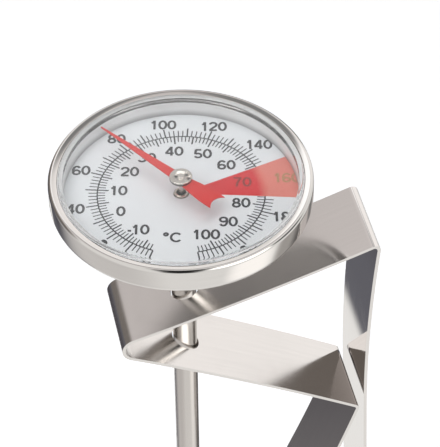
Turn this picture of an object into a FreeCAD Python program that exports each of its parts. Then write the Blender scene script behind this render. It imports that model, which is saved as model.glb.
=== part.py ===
import FreeCAD, Part
import math
import os

# Clip-on dial thermometer with a bimetal stem. Millimetres, +Z up.
# Origin: the line where the clip grips a vessel's wall, halfway across the strip.
# +X runs from the stem to the clip's back leg. The stem stands at x = -stem_to_wall.

# ---- Driving dimensions ---------------------------------------------------------------
# Where the head and stem are set in the clip
stem_to_wall = 32.2          # stem axis to the middle of the jaw's gap
head_height = 55.0           # case back over the jaw line, as stored

# Stem
stem_diameter = 4.4
stem_wall = 0.35
stem_length = 165.0          # case back to the tip
sensing_length = 50.0        # tip to the immersion mark
mark_width = 0.8             # the rolled groove that marks it
mark_depth = 0.12
tip_plug_seat = 3.0          # plug inside the tube

# Case and bezel
bezel_diameter = 45.0
bezel_sheet = 0.4
rim_height = 5.2             # top of the rim over the case back
rim_round = 1.1
lip_width = 1.6              # rim seen from above
lip_fall = 0.25              # the lip slopes inwards by this much
bezel_foot_round = 1.2
bezel_foot_width = 1.5       # how far the bezel is rolled in under the case
case_sheet = 0.35
sheet_fit = 0.05             # between the case wall and the bezel
boss_radius = 8.0            # round boss pressed out of the case back
boss_depth = 1.6
boss_slope_run = 1.6
pressed_round = 0.7

# Dial, spacer ring, crystal and seal
dial_sheet = 0.25
dial_edge_gap = 0.55
dial_hole_gap = 0.15
spacer_wall = 1.6
spacer_edge_gap = 0.1
gasket_thickness = 0.2
gasket_fit = 0.02
crystal_thickness = 0.85
crystal_wall = 0.85          # upstand of the crown
crystal_flange = 0.85        # thickness of the flange under the lip
crystal_edge_gap = 0.2
crystal_rise = 0.8           # crown over the rim
crystal_dome = 0.6
crystal_shoulder = 0.6       # bevel round the crown
crystal_lip_gap = 0.08

# Neck: bush, calibration nut and spring washer
bushing_wall = 0.7
bushing_flange_radius = 5.2
bushing_flange = 0.7
running_gap = 0.05
spring_washer_height = 0.45
spring_washer_sheet = 0.2
nut_across_flats = 11.0
nut_height = 4.0
nut_chamfer_angle = 30.0

# Movement
shaft_diameter = 0.8
bearing_radius = 1.2
bearing_stand = 0.35         # how far the bearing shows above the dial
bearing_countersink = 0.3
guide_length = 2.0
guide_spacing = 48.0
coil_radius = 1.25           # to the middle of the bimetal strip
coil_strip = 0.25
coil_strip_width = 2.4
coil_pitch = 3.2
coil_turns = 10
anchor_post = 3.0
anchor_base = 1.0
collar_length = 3.0
collar_gap = 0.02

# Pointer
pointer_gap = 3.25           # dial to the underside of the blade
pointer_sheet = 0.2
pointer_edge_gap = 0.8       # tip to the spacer ring
pointer_width = 1.85         # at the hub
pointer_tip_width = 0.24
tail_reach = 8.5
tail_root_width = 2.5        # at the hub
tail_width = 3.5             # at its end
tail_hollow = 0.9            # depth of the curve cut into the tail's end
tail_belly = 0.2             # how far the tail's sides swell out
hub_radius = 1.95
hub_disc = 0.7
boss_tube_radius = 0.7
boss_tube_length = 0.8
pointer_angle = 124.61       # counter-clockwise from +X, at 76.5 degrees F

# Clip
strip_width = 15.5
strip_thickness = 0.6
strip_end_round = 2.0
jaw_gap = 0.9
leg_tail = 36.0              # back leg below the jaw line
leg_rise = 42.2              # back leg above it
leg_bow_radius = 360.0
leg_lean = 2.6               # degrees off upright, below the jaw line
corner_inner_radius = 0.6
top_slope = 18.0             # degrees, along the chord
top_bow = 5.0
fold_inner_radius = 2.1
middle_slope = 29.6
middle_bow = 5.0
jaw_inner_radius = 0.5
lead_in_angle = 18.6         # degrees off upright, along the chord
lead_in_bow = 5.0
lead_in_length = 33.0
stem_hole_diameter = 5.5

# ---- Sizes worked out from them -------------------------------------------------------
stem_r = stem_diameter / 2
tube_bore = stem_r - stem_wall
tip_z = head_height - stem_length
tube_end = tip_z + stem_r

bezel_r = bezel_diameter / 2
bezel_bore = bezel_r - bezel_sheet
case_r = bezel_bore - sheet_fit
case_bore = case_r - case_sheet
case_corner = bezel_foot_round - bezel_sheet + sheet_fit
foot_r = bezel_r - bezel_foot_width
lip_r = bezel_r - lip_width
lip_under = rim_height - lip_fall - bezel_sheet
rim_inner_round = rim_round - bezel_sheet
gasket_r = bezel_bore - rim_inner_round
gasket_floor = lip_under - gasket_thickness

spacer_r = case_bore - spacer_edge_gap
spacer_bore = spacer_r - spacer_wall
pointer_reach = spacer_bore - pointer_edge_gap

dial_face = case_sheet + dial_sheet
bearing_top = dial_face + bearing_stand
neck_r = stem_r + bushing_wall
nut_top = -boss_depth - running_gap
neck_end = nut_top - nut_height
tube_top = -boss_depth
washer_floor = case_sheet - boss_depth + running_gap
flange_floor = washer_floor + spring_washer_height
flange_top = flange_floor + bushing_flange

flange_underside = gasket_floor - crystal_flange
crystal_r = lip_r - crystal_lip_gap
crystal_bore = crystal_r - crystal_wall
crystal_top = rim_height + crystal_rise

shaft_r = shaft_diameter / 2
blade_z = dial_face + pointer_gap
hub_top = blade_z + pointer_sheet + hub_disc
coil_bore = coil_radius - coil_strip / 2
coil_length = coil_pitch * coil_turns
coil_foot = tube_end + tip_plug_seat + anchor_base
coil_head = coil_foot + coil_length + coil_strip_width


# ---- Helpers --------------------------------------------------------------------------
def vec(x, z, y=0.0):
    return FreeCAD.Vector(x, y, z)


def rounded_face(corners):
    """Face in the XZ plane with corners (x, z) or (x, z, radius)."""
    edges = []
    starts, ends, arcs = [], [], []
    count = len(corners)
    for i, corner in enumerate(corners):
        here = vec(*corner[:2])
        radius = corner[2] if len(corner) > 2 else 0.0
        before = (vec(*corners[i - 1][:2]) - here).normalize()
        after = (vec(*corners[(i + 1) % count][:2]) - here).normalize()
        if radius:
            half = before.getAngle(after) / 2
            reach = radius / math.tan(half)
            centre = here + (before + after).normalize() * (radius / math.sin(half))
            middle = centre + (here - centre).normalize() * radius
            starts.append(here + before * reach)
            ends.append(here + after * reach)
            arcs.append(Part.Arc(starts[-1], middle, ends[-1]).toShape())
        else:
            starts.append(here)
            ends.append(here)
            arcs.append(None)
    for i in range(count):
        if arcs[i]:
            edges.append(arcs[i])
        edges.append(Part.makeLine(ends[i], starts[(i + 1) % count]))
    return Part.Face(Part.Wire(edges))


def turned(corners):
    """Solid of revolution about Z from an outline of (radius, height) corners."""
    face = rounded_face(corners)
    return face.revolve(vec(0, 0), vec(0, 1), 360)


def disc(radius, low, high, bore=0.0):
    """Flat ring or disc between two heights."""
    body = Part.makeCylinder(radius, high - low, vec(0, low))
    if bore:
        body = body.cut(Part.makeCylinder(bore, high - low, vec(0, low)))
    return body


def in_head(shape):
    """From heights over the case back to the part's frame."""
    return shape.translated(vec(-stem_to_wall, head_height))


def on_stem(shape):
    """From heights over the jaw line to the part's frame."""
    return shape.translated(vec(-stem_to_wall, 0))


# ---- Clip -----------------------------------------------------------------------------
def heading(angle):
    return vec(math.cos(math.radians(angle)), math.sin(math.radians(angle)))


class Strip:
    """A bent strip seen from its edge: runs along a path, offset to both of its faces."""

    def __init__(self, start, angle):
        self.start, self.start_angle = start, angle
        self.place, self.angle = start, angle
        self.steps = []

    def run(self, length):
        self.steps.append(("run", self.place, self.angle, length, 0))
        self.place = self.place + heading(self.angle) * length

    def bend(self, radius, turn):
        """Turn by so many degrees, counter-clockwise where positive."""
        self.steps.append(("bend", self.place, self.angle, radius, turn))
        side = heading(self.angle + math.copysign(90, turn))
        centre = self.place + side * radius
        self.place = centre - heading(self.angle + turn + math.copysign(90, turn)) * radius
        self.angle += turn

    def bow(self, chord, turn):
        """A plate that is bowed by so many degrees from end to end."""
        self.bend(chord / 2 / math.sin(math.radians(abs(turn) / 2)), turn)

    def side(self, offset):
        """Edges of the face that lies this far to the left of the path."""
        edges = []
        for kind, place, angle, size, turn in self.steps:
            start = place + heading(angle + 90) * offset
            if kind == "run":
                edges.append(Part.makeLine(start, start + heading(angle) * size))
                continue
            sense = math.copysign(1, turn)
            way = 90 * sense
            centre = place + heading(angle + way) * size
            radius = size - offset * sense
            points = [centre - heading(angle + way + part * turn) * radius for part in (0, 0.5, 1)]
            edges.append(Part.Arc(*points).toShape())
        return edges


def across(a, b):
    return a.x * b.z - a.z * b.x


def clip_path():
    """Path of the strip's middle surface, from the foot of the back leg."""
    middle_radius = {
        "corner": corner_inner_radius + strip_thickness / 2,
        "fold": fold_inner_radius + strip_thickness / 2,
        "jaw": jaw_inner_radius + strip_thickness / 2,
    }
    at_jaw = vec(jaw_gap / 2 + strip_thickness / 2, 0)
    foot_heading = 90 + leg_lean
    lean_high = math.asin(leg_rise / leg_bow_radius - math.sin(math.radians(leg_lean)))
    strip = Strip(at_jaw - heading(foot_heading) * leg_tail, foot_heading)
    strip.run(leg_tail)
    strip.bend(leg_bow_radius, -leg_lean - math.degrees(lean_high))

    top_right = 180 + top_slope + top_bow / 2
    strip.bend(middle_radius["corner"], top_right - strip.angle)
    top_left = top_right - top_bow
    middle_left = 360 - middle_slope + middle_bow / 2
    middle_right = middle_left - middle_bow
    down = 270 - lead_in_angle + lead_in_bow / 2

    # the fold and the jaw's bend are known, so the two plates between them close the shape
    jaw_centre = vec(-jaw_gap / 2 - strip_thickness - jaw_inner_radius, 0)
    goal = jaw_centre + heading(middle_right + 90) * middle_radius["jaw"]
    fold = Strip(vec(0, 0), top_left)
    fold.bend(middle_radius["fold"], middle_left - top_left)
    rest = goal - strip.place - fold.place
    along_top = heading(180 + top_slope)
    along_middle = heading(-middle_slope)
    span = across(along_top, along_middle)
    strip.bow(across(rest, along_middle) / span, -top_bow)
    strip.bend(middle_radius["fold"], middle_left - top_left)
    strip.bow(across(along_top, rest) / span, -middle_bow)
    strip.bend(middle_radius["jaw"], down - middle_right)
    strip.bow(lead_in_length, -lead_in_bow)
    return strip


def clip():
    """One strip of spring steel: back leg, top plate, fold, middle plate and lead-in leg."""
    path = clip_path()
    half = strip_thickness / 2
    foot_side = heading(path.start_angle + 90) * half
    toe_side = heading(path.angle + 90) * half
    ends = [
        Part.makeLine(path.start - foot_side, path.start + foot_side),
        Part.makeLine(path.place - toe_side, path.place + toe_side),
    ]
    outline = Part.__sortEdges__(path.side(half) + path.side(-half) + ends)
    face = Part.Face(Part.Wire(outline))
    body = face.extrude(vec(0, 0, strip_width)).translated(vec(0, 0, -strip_width / 2))
    low_edges = [
        edge
        for edge in body.Edges
        if abs(edge.Length - strip_thickness) < 1e-6 and edge.BoundBox.YLength < 1e-6
    ]
    body = body.makeFillet(strip_end_round, low_edges)

    stem_line = Part.makeLine(vec(-stem_to_wall, -leg_tail), vec(-stem_to_wall, leg_rise))
    crossed = sorted(stem_line.common(body).Edges, key=lambda edge: edge.CenterOfMass.z)
    for edge, slope in zip(crossed, (-middle_slope, top_slope)):
        drill = heading(slope + 90)
        start = edge.CenterOfMass - drill * stem_hole_diameter
        body = body.cut(Part.makeCylinder(stem_hole_diameter / 2, 2 * stem_hole_diameter, start, drill))
    return body


# ---- Stem -----------------------------------------------------------------------------
def stem_tube():
    """Seamless tube, with a groove rolled in where its sensing length ends."""
    low, high = tube_end, head_height + tube_top
    mark = tip_z + sensing_length
    outside = turned(
        [
            (tube_bore, low),
            (stem_r, low),
            (stem_r, mark),
            (stem_r - mark_depth, mark + mark_width / 2, mark_width),
            (stem_r, mark + mark_width),
            (stem_r, high),
            (tube_bore, high),
        ]
    )
    return on_stem(outside)


def tip_plug():
    """Welded plug that closes the tube with a round nose."""
    nose = Part.makeSphere(stem_r, vec(0, tube_end))
    nose = nose.common(Part.makeCylinder(stem_diameter, stem_r, vec(0, tip_z)))
    seat = Part.makeCylinder(tube_bore, tip_plug_seat, vec(0, tube_end))
    return on_stem(nose.fuse(seat).removeSplitter())


def coil_anchor():
    """Post that the bimetal coil's lower end is welded to."""
    base = tube_end + tip_plug_seat
    body = turned(
        [
            (0, base),
            (tube_bore, base),
            (tube_bore, coil_foot),
            (coil_bore, coil_foot),
            (coil_bore, coil_foot + anchor_post),
            (0, coil_foot + anchor_post),
        ]
    )
    return on_stem(body)


def bimetal_coil():
    """Helix of two-metal strip: its upper end turns as it warms."""
    helix = Part.makeHelix(coil_pitch, coil_length, coil_radius)
    section = Part.makePolygon(
        [
            vec(coil_radius - coil_strip / 2, 0),
            vec(coil_radius + coil_strip / 2, 0),
            vec(coil_radius + coil_strip / 2, coil_strip_width),
            vec(coil_radius - coil_strip / 2, coil_strip_width),
            vec(coil_radius - coil_strip / 2, 0),
        ]
    )
    coil = Part.Wire(helix).makePipeShell([section], True, True)
    return on_stem(coil.translated(vec(0, coil_foot)))


def coil_collar():
    """Sleeve that joins the coil's upper end to the pointer's shaft."""
    return on_stem(disc(coil_bore - collar_gap, coil_head - collar_length, coil_head, shaft_r))


def shaft_guide(place):
    """Small bush in the tube that keeps the shaft on its axis."""
    low = coil_head + guide_length + place * guide_spacing
    return on_stem(disc(tube_bore, low, low + guide_length, shaft_r + running_gap))


def pointer_shaft():
    low = coil_head - collar_length
    high = head_height + blade_z + pointer_sheet
    return on_stem(disc(shaft_r, low, high))


# ---- Neck -----------------------------------------------------------------------------
def neck_bushing():
    """Turned bush: the tube is fixed in it, and its flange holds the case from inside."""
    body = turned(
        [
            (stem_r, neck_end),
            (neck_r, neck_end),
            (neck_r, flange_floor),
            (bushing_flange_radius, flange_floor),
            (bushing_flange_radius, flange_top),
            (bearing_radius, flange_top),
            (bearing_radius, tube_top),
            (stem_r, tube_top),
        ]
    )
    return in_head(body)


def shaft_bearing():
    """Brass bush for the shaft, which shows in the middle of the dial."""
    bore = shaft_r + running_gap
    body = turned(
        [
            (bore, tube_top),
            (bearing_radius, tube_top),
            (bearing_radius, bearing_top, bearing_stand / 2),
            (bore + bearing_countersink, bearing_top),
            (bore, bearing_top - bearing_countersink),
        ]
    )
    return in_head(body)


def calibration_nut():
    """Hexagon under the case that turns the stem against the dial to set the reading."""
    corner_r = nut_across_flats / math.sqrt(3)
    turns = [math.radians(60 * i) for i in range(7)]
    corners = [vec(corner_r * math.cos(turn), neck_end, corner_r * math.sin(turn)) for turn in turns]
    hexagon = Part.Face(Part.makePolygon(corners)).extrude(vec(0, nut_height))
    flat_r = nut_across_flats / 2
    rise = (corner_r - flat_r) * math.tan(math.radians(nut_chamfer_angle))
    envelope = turned(
        [
            (0, neck_end),
            (flat_r, neck_end),
            (corner_r, neck_end + rise),
            (corner_r, nut_top - rise),
            (flat_r, nut_top),
            (0, nut_top),
        ]
    )
    hole = Part.makeCylinder(neck_r, nut_height, vec(0, neck_end))
    return in_head(hexagon.common(envelope).cut(hole))


def spring_washer():
    """Dished washer between the case and the bush's flange: it gives the turn its drag."""
    lift = spring_washer_height - spring_washer_sheet
    inner, outer = neck_r + running_gap, bushing_flange_radius
    body = turned(
        [
            (inner, washer_floor + lift),
            (outer, washer_floor),
            (outer, washer_floor + spring_washer_sheet),
            (inner, washer_floor + spring_washer_height),
        ]
    )
    return in_head(body)


# ---- Head -----------------------------------------------------------------------------
def case_cup():
    """Drawn cup: flat back, a round boss at the neck, and a straight wall."""
    slope = math.atan2(boss_depth, boss_slope_run)
    inset = case_sheet * math.tan(slope / 2)
    boss_foot = boss_radius + boss_slope_run
    hole_r = neck_r + running_gap
    body = turned(
        [
            (hole_r, -boss_depth),
            (boss_radius, -boss_depth, pressed_round),
            (boss_foot, 0, pressed_round - case_sheet),
            (case_r, 0, case_corner),
            (case_r, lip_under - rim_inner_round),
            (case_bore, lip_under - rim_inner_round),
            (case_bore, case_sheet, case_corner - case_sheet),
            (boss_foot - inset, case_sheet, pressed_round),
            (boss_radius - inset, case_sheet - boss_depth, pressed_round - case_sheet),
            (hole_r, case_sheet - boss_depth),
        ]
    )
    return in_head(body)


def bezel_ring():
    """Rim rolled over the crystal at the top and under the case at the foot."""
    body = turned(
        [
            (foot_r, -bezel_sheet),
            (bezel_r, -bezel_sheet, bezel_foot_round),
            (bezel_r, rim_height, rim_round),
            (lip_r, rim_height - lip_fall),
            (lip_r, lip_under),
            (bezel_bore, lip_under, rim_inner_round),
            (bezel_bore, 0, bezel_foot_round - bezel_sheet),
            (foot_r, 0),
        ]
    )
    return in_head(body)


def lens_gasket():
    """Flat seal between the crystal's flange and the rim's lip."""
    return in_head(disc(gasket_r, gasket_floor, lip_under, crystal_r + gasket_fit))


def cap(radius, high, dome, low):
    """Cylinder under a slightly domed top."""
    ball_r = (radius**2 + dome**2) / (2 * dome)
    ball = Part.makeSphere(ball_r, vec(0, high - ball_r))
    return Part.makeCylinder(radius, high - low, vec(0, low)).common(ball)


def crystal():
    """Clear moulded window: a bevelled, slightly domed crown in the rim, and a flange."""
    crown = cap(crystal_r, crystal_top, crystal_dome, flange_underside)
    shoulder = [
        edge
        for edge in crown.Edges
        if abs(edge.BoundBox.ZMax - (crystal_top - crystal_dome)) < 1e-4
        and edge.BoundBox.ZLength < 1e-4
    ]
    crown = crown.makeChamfer(crystal_shoulder, shoulder)
    flange = disc(case_bore - crystal_edge_gap, flange_underside, gasket_floor)
    hollow = cap(crystal_bore, crystal_top - crystal_thickness, crystal_dome, flange_underside)
    return in_head(crown.fuse(flange).cut(hollow).removeSplitter())


def spacer_ring():
    """Ring between the dial and the crystal: the pointer swings inside it."""
    return in_head(disc(spacer_r, dial_face, flange_underside, spacer_bore))


def dial_plate():
    """Flat printed disc with a hole for the bearing."""
    return in_head(
        disc(case_bore - dial_edge_gap, case_sheet, dial_face, bearing_radius + dial_hole_gap)
    )


# ---- Pointer --------------------------------------------------------------------------
def pointer():
    """Stamped blade: a long taper to the tip, and a broad tail with a hollow end."""
    def point(x, y):
        return FreeCAD.Vector(x, y, blade_z)

    half, tip = pointer_width / 2, pointer_tip_width / 2
    root, tail = tail_root_width / 2, tail_width / 2

    def tail_side(sign):
        middle = point(-(hub_radius + tail_reach) / 2, sign * ((root + tail) / 2 + tail_belly))
        ends = point(-hub_radius, sign * root), point(-tail_reach, sign * tail)
        return Part.Arc(ends[0], middle, ends[1]).toShape()

    hollow = point(tail_hollow - tail_reach, 0)
    tail_end = Part.Arc(point(-tail_reach, tail), hollow, point(-tail_reach, -tail)).toShape()
    nose = Part.makePolygon(
        [
            point(-hub_radius, -root),
            point(hub_radius, -half),
            point(pointer_reach, -tip),
            point(pointer_reach, tip),
            point(hub_radius, half),
            point(-hub_radius, root),
        ]
    )
    outline = Part.Wire(Part.__sortEdges__([tail_side(1), tail_end, tail_side(-1)] + nose.Edges))
    blade = Part.Face(outline).extrude(vec(0, pointer_sheet))
    blade = blade.cut(disc(boss_tube_radius, blade_z, blade_z + pointer_sheet))
    blade.rotate(vec(0, 0), vec(0, 1), pointer_angle)
    return in_head(blade)


def pointer_hub():
    """Turned hub: a disc over the blade and a tube under it that is pressed on the shaft."""
    blade_top = blade_z + pointer_sheet
    body = turned(
        [
            (shaft_r, blade_z - boss_tube_length),
            (boss_tube_radius, blade_z - boss_tube_length),
            (boss_tube_radius, blade_top),
            (hub_radius, blade_top),
            (hub_radius, hub_top, hub_disc / 3),
            (0, hub_top),
            (0, blade_top),
            (shaft_r, blade_top),
        ]
    )
    return in_head(body)


# ---- Files ----------------------------------------------------------------------------
pieces = {
    "clip": clip,
    "stem_tube": stem_tube,
    "tip_plug": tip_plug,
    "coil_anchor": coil_anchor,
    "bimetal_coil": bimetal_coil,
    "coil_collar": coil_collar,
    "shaft_guide_lower": lambda: shaft_guide(0),
    "shaft_guide_upper": lambda: shaft_guide(1),
    "pointer_shaft": pointer_shaft,
    "neck_bushing": neck_bushing,
    "shaft_bearing": shaft_bearing,
    "calibration_nut": calibration_nut,
    "spring_washer": spring_washer,
    "case_cup": case_cup,
    "bezel_ring": bezel_ring,
    "lens_gasket": lens_gasket,
    "crystal": crystal,
    "spacer_ring": spacer_ring,
    "dial_plate": dial_plate,
    "pointer": pointer,
    "pointer_hub": pointer_hub,
}
os.makedirs("parts", exist_ok=True)
for name, make in pieces.items():
    make().exportStep(f"parts/{name}.step")
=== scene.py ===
import math

import bmesh
import bpy
from mathutils import Matrix, Vector


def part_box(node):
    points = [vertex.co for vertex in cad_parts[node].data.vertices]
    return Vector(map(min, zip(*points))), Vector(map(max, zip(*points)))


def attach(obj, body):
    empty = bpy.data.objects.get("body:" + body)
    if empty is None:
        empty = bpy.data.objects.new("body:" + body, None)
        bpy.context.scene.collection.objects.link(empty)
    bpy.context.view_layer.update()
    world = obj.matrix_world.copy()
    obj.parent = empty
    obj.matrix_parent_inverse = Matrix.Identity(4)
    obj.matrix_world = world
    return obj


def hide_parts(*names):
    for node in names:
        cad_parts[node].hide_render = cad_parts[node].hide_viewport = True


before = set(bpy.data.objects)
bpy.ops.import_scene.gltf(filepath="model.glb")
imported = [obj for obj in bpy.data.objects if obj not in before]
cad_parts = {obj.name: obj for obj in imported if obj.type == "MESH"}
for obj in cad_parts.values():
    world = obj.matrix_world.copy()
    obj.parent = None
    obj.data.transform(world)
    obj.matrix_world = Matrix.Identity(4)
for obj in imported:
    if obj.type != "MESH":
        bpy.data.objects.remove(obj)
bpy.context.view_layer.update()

# ---- Clip -----------------------------------------------------------------------------
# One strip of stainless spring steel: back leg, top plate, fold, middle plate and lead-in
# leg. It was rolled bright, sheared to length, punched for the probe and bent.
mm = 0.001
clip_low, clip_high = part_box("clip")
probe_low, probe_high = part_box("stem_tube")
probe_x = (probe_low.x + probe_high.x) / 2
strip_width = clip_high.y - clip_low.y
strip_thickness = 0.6 * mm
strip_end_round = 2 * mm
sheared_edge = 0.05 * mm
jaw_gap = 0.9 * mm
leg_tail = 36 * mm
leg_rise = 42.2 * mm
leg_bow_radius = 360 * mm
# bends have the radius of the strip's middle, and leans, slopes and bows are in degrees
leg_lean = 2.6
corner_radius = 0.6 * mm + strip_thickness / 2
fold_radius = 2.1 * mm + strip_thickness / 2
jaw_radius = 0.5 * mm + strip_thickness / 2
top_slope, middle_slope, lead_in_angle = 18, 29.6, 18.6
plate_bow = 5
lead_in_length = 33 * mm
probe_hole = 5.5 * mm


def heading(angle):
    return Vector((math.cos(math.radians(angle)), 0, math.sin(math.radians(angle))))


def arc(radius, turn):
    return radius * math.radians(abs(turn)), turn


def bowed(chord, turn):
    return arc(chord / 2 / math.sin(math.radians(abs(turn) / 2)), turn)


def follow(place, angle, moves, step=0.3 * mm, widest=8):
    """Points and headings along runs and arcs, each given as its length and its turn in degrees."""
    track = [(place.copy(), angle)]
    for length, turn in moves:
        count = max(1, math.ceil(length / step), math.ceil(abs(turn) / widest))
        half = turn / count / 2
        chord = length / count
        if half:
            chord *= math.sin(math.radians(half)) / math.radians(half)
        for _ in range(count):
            place = place + heading(angle + half) * chord
            angle += 2 * half
            track.append((place.copy(), angle))
    return track


def cross(a, b):
    return a.x * b.z - a.z * b.x


foot_heading = 90 + leg_lean
foot = Vector(((jaw_gap + strip_thickness) / 2, 0, 0)) - heading(foot_heading) * leg_tail
leg_turn = -leg_lean - math.degrees(math.asin(leg_rise / leg_bow_radius - math.sin(math.radians(leg_lean))))
top_start = 180 + top_slope + plate_bow / 2
middle_start = 360 - middle_slope + plate_bow / 2
lead_in_start = 270 - lead_in_angle + plate_bow / 2
leg_moves = [(leg_tail, 0), arc(leg_bow_radius, leg_turn)]
leg_moves.append(arc(corner_radius, top_start - foot_heading - leg_turn))
fold_move = arc(fold_radius, middle_start - top_start + plate_bow)
# the two plates are as long as it takes for the strip to come back to the leg
corner_end = follow(foot, foot_heading, leg_moves)[-1][0]
fold_span = follow(Vector(), top_start - plate_bow, [fold_move])[-1][0]
jaw_centre = Vector((-jaw_gap / 2 - strip_thickness / 2 - jaw_radius, 0, 0))
middle_end = jaw_centre + heading(middle_start - plate_bow + 90) * jaw_radius
rest = middle_end - corner_end - fold_span
down_top, down_middle = heading(180 + top_slope), heading(-middle_slope)
span = cross(down_top, down_middle)
clip_track = follow(foot, foot_heading, leg_moves + [
    bowed(cross(rest, down_middle) / span, -plate_bow),
    fold_move,
    bowed(cross(down_top, rest) / span, -plate_bow),
    arc(jaw_radius, lead_in_start - middle_start + plate_bow),
    bowed(lead_in_length, -plate_bow),
])


def strip_mesh(name, track, width, thickness, end_round, rows=14):
    """A strip with rounded corners at both ends, swept along a track of points and headings."""
    reach = [0.0]
    for (before, _), (after, _) in zip(track, track[1:]):
        reach.append(reach[-1] + (after - before).length)
    verts = []
    for (place, angle), along in zip(track, reach):
        short = max(0.0, end_round - min(along, reach[-1] - along))
        half = width / 2 - end_round + math.sqrt(end_round**2 - short**2)
        for side in (1, -1):
            edge = place + heading(angle + 90) * side * thickness / 2
            verts += [edge + Vector((0, half * (2 * row / rows - 1), 0)) for row in range(rows + 1)]
    line = rows + 1
    faces = []
    for i in range(len(track) - 1):
        left, right = 2 * line * i, 2 * line * i + line
        for j in range(rows):
            faces.append((left + j, left + j + 1, left + 2 * line + j + 1, left + 2 * line + j))
            faces.append((right + j + 1, right + j, right + 2 * line + j, right + 2 * line + j + 1))
        for j in (0, rows):
            faces.append((left + j, left + 2 * line + j, right + 2 * line + j, right + j))
    for left in (0, 2 * line * (len(track) - 1)):
        faces += [(left + j, left + j + 1, left + line + j + 1, left + line + j) for j in range(rows)]
    mesh = bpy.data.meshes.new(name)
    mesh.from_pydata(verts, [], faces)
    tidy_mesh(mesh)
    return mesh


def tidy_mesh(mesh, sharp=32):
    """Joins doubled points, turns every face outwards and shades smooth between sharp edges."""
    work = bmesh.new()
    work.from_mesh(mesh)
    bmesh.ops.remove_doubles(work, verts=work.verts, dist=1e-7)
    bmesh.ops.recalc_face_normals(work, faces=work.faces)
    work.to_mesh(mesh)
    work.free()
    mesh.shade_smooth()
    mesh.set_sharp_from_angle(angle=math.radians(sharp))


def made_mesh(name, work):
    """The mesh of what is in the work, which is let go."""
    mesh = bpy.data.meshes.new(name)
    work.to_mesh(mesh)
    work.free()
    return mesh


def modified(mesh, kind, *settings):
    """The mesh with modifiers of one kind applied, each given as its settings."""
    holder = bpy.data.objects.new("holder", mesh)
    bpy.context.scene.collection.objects.link(holder)
    for values in settings:
        modifier = holder.modifiers.new(kind, kind)
        for key, value in values.items():
            setattr(modifier, key, value)
    evaluated = holder.evaluated_get(bpy.context.evaluated_depsgraph_get())
    made = bpy.data.meshes.new_from_object(evaluated)
    made.name = mesh.name
    bpy.data.objects.remove(holder)
    bpy.data.meshes.remove(mesh)
    return made


def softened(mesh, width, segments=2, sharp=32):
    """The mesh with its sharp edges rounded."""
    return modified(mesh, "BEVEL", {
        "width": width, "segments": segments, "limit_method": "ANGLE", "angle_limit": math.radians(sharp),
        "harden_normals": True,
    })


def cut(mesh, *tools, operation="DIFFERENCE"):
    """The mesh without what the tool meshes take up, or with INTERSECT only what they share."""
    holders = [bpy.data.objects.new("tool", tool) for tool in tools]
    for holder in holders:
        bpy.context.scene.collection.objects.link(holder)
    left = modified(mesh, "BOOLEAN", *[
        {"object": holder, "operation": operation, "solver": "EXACT"} for holder in holders
    ])
    for holder in holders:
        bpy.data.objects.remove(holder)
    return left


def add_piece(name, mesh, body, slot, material, *nodes):
    """Links a mesh as a piece that rides a body and stands for CAD nodes."""
    piece = bpy.data.objects.new(name, mesh)
    bpy.context.scene.collection.objects.link(piece)
    mesh.materials.clear()
    mesh.materials.append(material)
    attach(piece, body)
    if nodes:
        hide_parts(*nodes)


clip_mesh = strip_mesh("clip", clip_track, strip_width, strip_thickness, strip_end_round)
punches = []
for (before, angle), (after, _) in zip(clip_track, clip_track[1:]):
    if (before.x - probe_x) * (after.x - probe_x) <= 0 and abs(before.x - after.x) > 0:
        work = bmesh.new()
        square_to_strip = Matrix.Translation(before) @ Matrix.Rotation(math.radians(-angle), 4, "Y")
        bmesh.ops.create_cone(
            work, cap_ends=True, segments=64, radius1=probe_hole / 2, radius2=probe_hole / 2,
            depth=2 * probe_hole, matrix=square_to_strip,
        )
        punches.append(made_mesh("punch", work))
clip_mesh = cut(clip_mesh, *punches)
tidy_mesh(clip_mesh)
clip_mesh = softened(clip_mesh, sheared_edge)


def put(tree, kind, inputs=None, **settings):
    """A shader node with its settings, and inputs given as values or as sockets to link from."""
    made = tree.nodes.new(kind)
    for key, value in settings.items():
        setattr(made, key, value)
    for key, value in (inputs or {}).items():
        if isinstance(value, bpy.types.NodeSocket):
            tree.links.new(value, made.inputs[key])
        else:
            made.inputs[key].default_value = value
    return made


def feed(node, **sources):
    """Links sockets to a node's inputs, named with _ for a space."""
    for key, source in sources.items():
        node.id_data.links.new(source, node.inputs[key.replace("_", " ")])


def object_place(tree):
    return put(tree, "ShaderNodeTexCoord").outputs["Object"]


def noise(tree, place, scale, detail, **finer):
    """A cloudy mask with so many clouds to the metre, broken up by detail."""
    values = {"Vector": place, "Scale": scale, "Detail": detail, **finer}
    return put(tree, "ShaderNodeTexNoise", values).outputs["Fac"]


def reckon(tree, operation, *values):
    """The result of one step of arithmetic."""
    return put(tree, "ShaderNodeMath", dict(enumerate(values)), operation=operation).outputs[0]


def scaled(tree, vector, amount):
    """A vector or colour times an amount."""
    return put(tree, "ShaderNodeVectorMath", {0: vector, "Scale": amount}, operation="SCALE").outputs[0]


def ramp(tree, value, start, end, first=0.0, last=1.0, interpolation_type="LINEAR"):
    """Goes from first to last while the value goes from start to end."""
    ends = {"Value": value, "From Min": start, "From Max": end, "To Min": first, "To Max": last}
    return put(tree, "ShaderNodeMapRange", ends, interpolation_type=interpolation_type).outputs[0]


def bumped(tree, height, strength, distance):
    values = {"Height": height, "Strength": strength, "Distance": distance}
    return put(tree, "ShaderNodeBump", values).outputs[0]


def placed(tree, group, **values):
    """The outputs of a shared effect, placed in a material with its own values."""
    return put(tree, "ShaderNodeGroup", values, node_tree=group).outputs


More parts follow.
